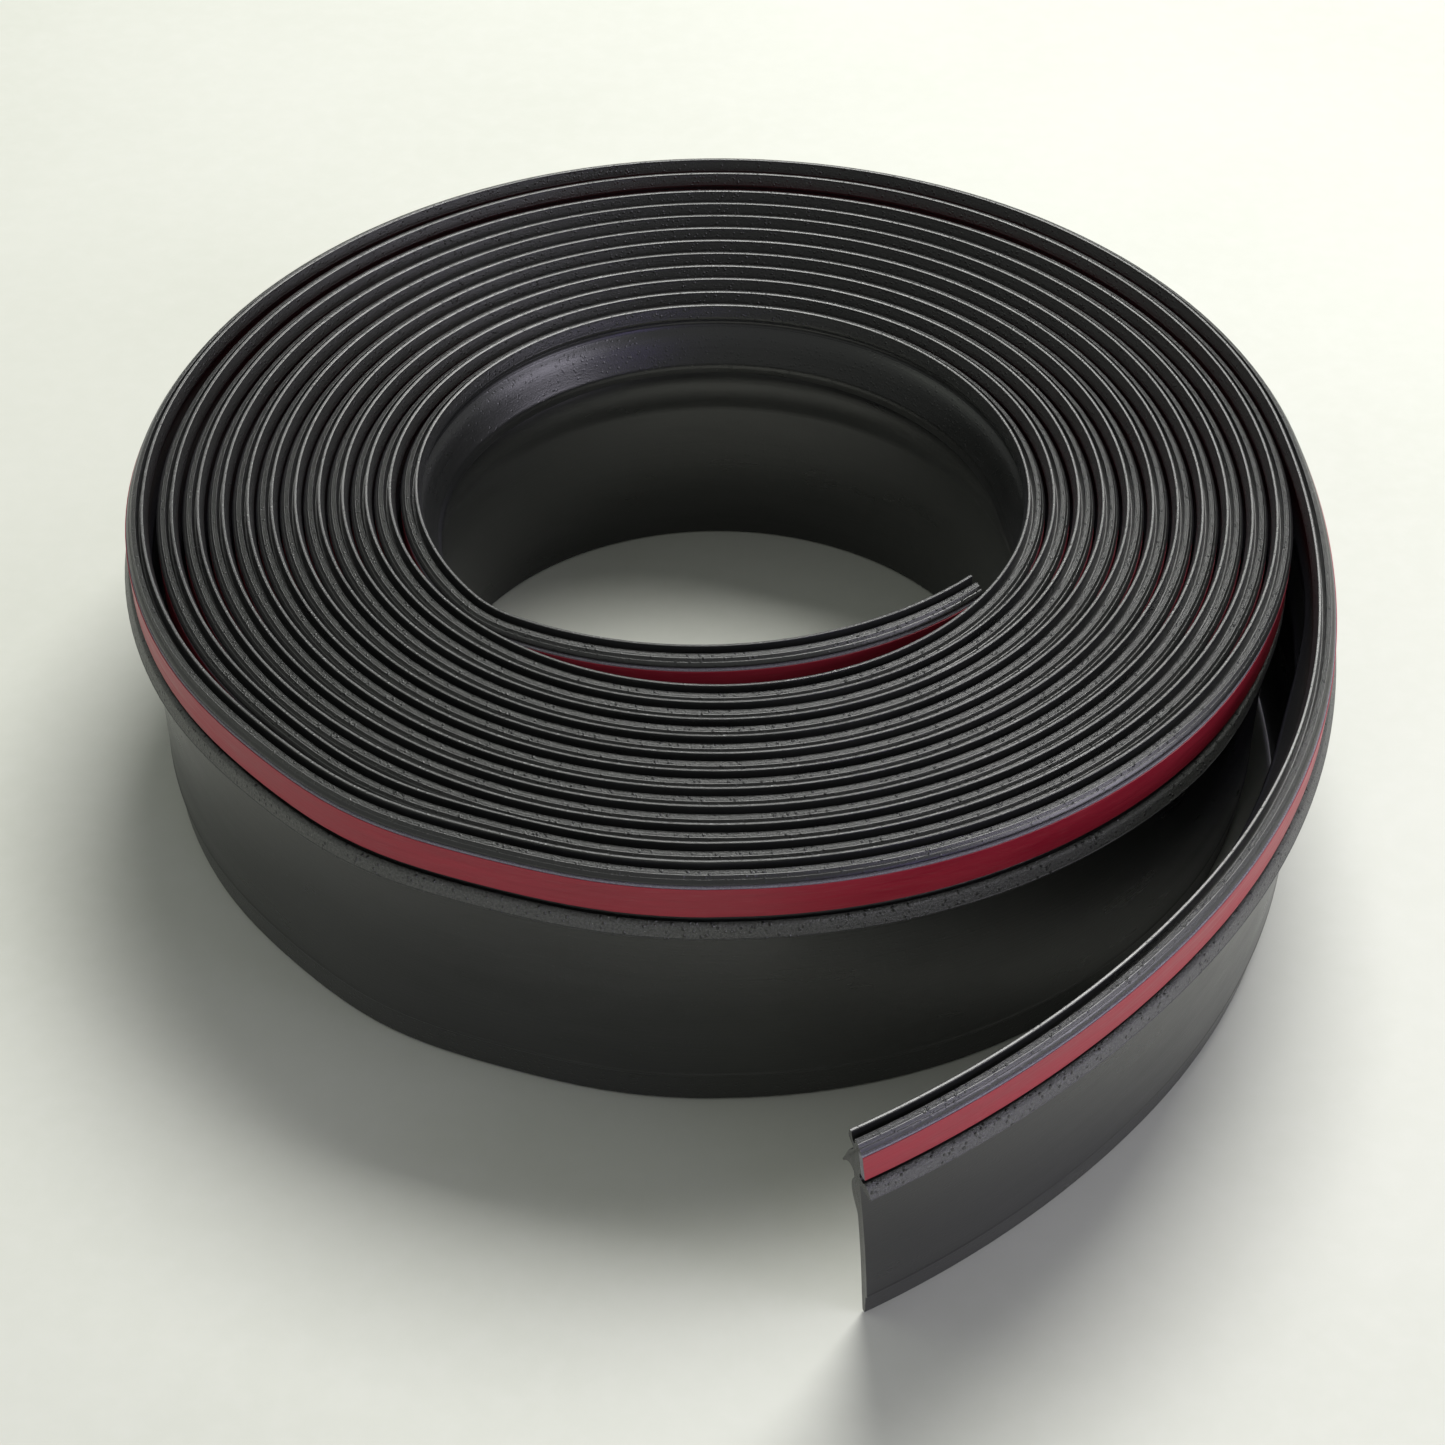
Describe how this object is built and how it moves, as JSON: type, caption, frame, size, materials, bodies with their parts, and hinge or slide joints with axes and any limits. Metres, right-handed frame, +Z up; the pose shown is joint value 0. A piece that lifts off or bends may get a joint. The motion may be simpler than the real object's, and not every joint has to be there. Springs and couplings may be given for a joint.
{
  "type": "rolled rubber wiper seal",
  "caption": "Roll of black extruded rubber wiper seal with lip, barb, ledge and flap, and a foam adhesive tape under a red release liner; its cut tail curves off the roll.",
  "frame": {"origin": "axis of the roll's first bend, on the surface that the strip's flap edge stands on", "axes": "+Z up along the roll's axis, from the flap edge to the lip; the cut tail leaves at +X and curves round to the front, which is -Y"},
  "size_m": [0.3688, 0.4506, 0.095],
  "materials": {
    "rubber": "matte extruded black rubber with a rough band beside the lip",
    "foam": "grey closed-cell foam tape",
    "liner": "thin satin red film"
  },
  "bodies": {
    "coil": {"profile_turns_1": "rubber", "profile_turns_2": "rubber", "profile_turns_3": "rubber", "profile_turns_4": "rubber", "foam_tape_coil": "foam", "release_liner_coil": "liner"},
    "inner_end": {"profile_inner_end": "rubber", "foam_tape_inner_end": "foam", "release_liner_inner_end": "liner"},
    "tail_1": {"profile_tail_1": "rubber", "foam_tape_tail_1": "foam", "release_liner_tail_1": "liner"},
    "tail_2": {"profile_tail_2": "rubber", "foam_tape_tail_2": "foam", "release_liner_tail_2": "liner"},
    "tail_3": {"profile_tail_3": "rubber", "foam_tape_tail_3": "foam", "release_liner_tail_3": "liner"},
    "liner_end": {"release_liner_end": "liner"}
  },
  "joints": [
    {"name": "inner_end_spring", "type": "hinge", "parent": "coil", "child": "inner_end", "pos_m": [-0.06223, -0.06306, 0.0475], "axis": [0, 0, 1], "range_deg": [0, 25], "stiffness_Nm_per_rad": 0.03},
    {"name": "tail_root_bend", "type": "hinge", "parent": "coil", "child": "tail_1", "pos_m": [0.18051, 0.02124, 0.0475], "axis": [0, 0, 1], "range_deg": [0, 30], "stiffness_Nm_per_rad": 0.03},
    {"name": "tail_middle_bend", "type": "hinge", "parent": "tail_1", "child": "tail_2", "pos_m": [0.17306, -0.08474, 0.0475], "axis": [0, 0, 1], "range_deg": [-8, 26], "stiffness_Nm_per_rad": 0.03},
    {"name": "tail_end_bend", "type": "hinge", "parent": "tail_2", "child": "tail_3", "pos_m": [0.12595, -0.18087, 0.0475], "axis": [0, 0, 1], "range_deg": [-8, 26], "stiffness_Nm_per_rad": 0.03},
    {"name": "liner_peel", "type": "hinge", "parent": "tail_3", "child": "liner_end", "pos_m": [0.05789, -0.24921, 0.08376], "axis": [0.0553, -0.0888, 0.9945], "range_deg": [0, 110]}
  ],
  "couplings": [
    {"joint": "tail_end_bend", "follows": "tail_middle_bend", "ratio": 1}
  ]
}
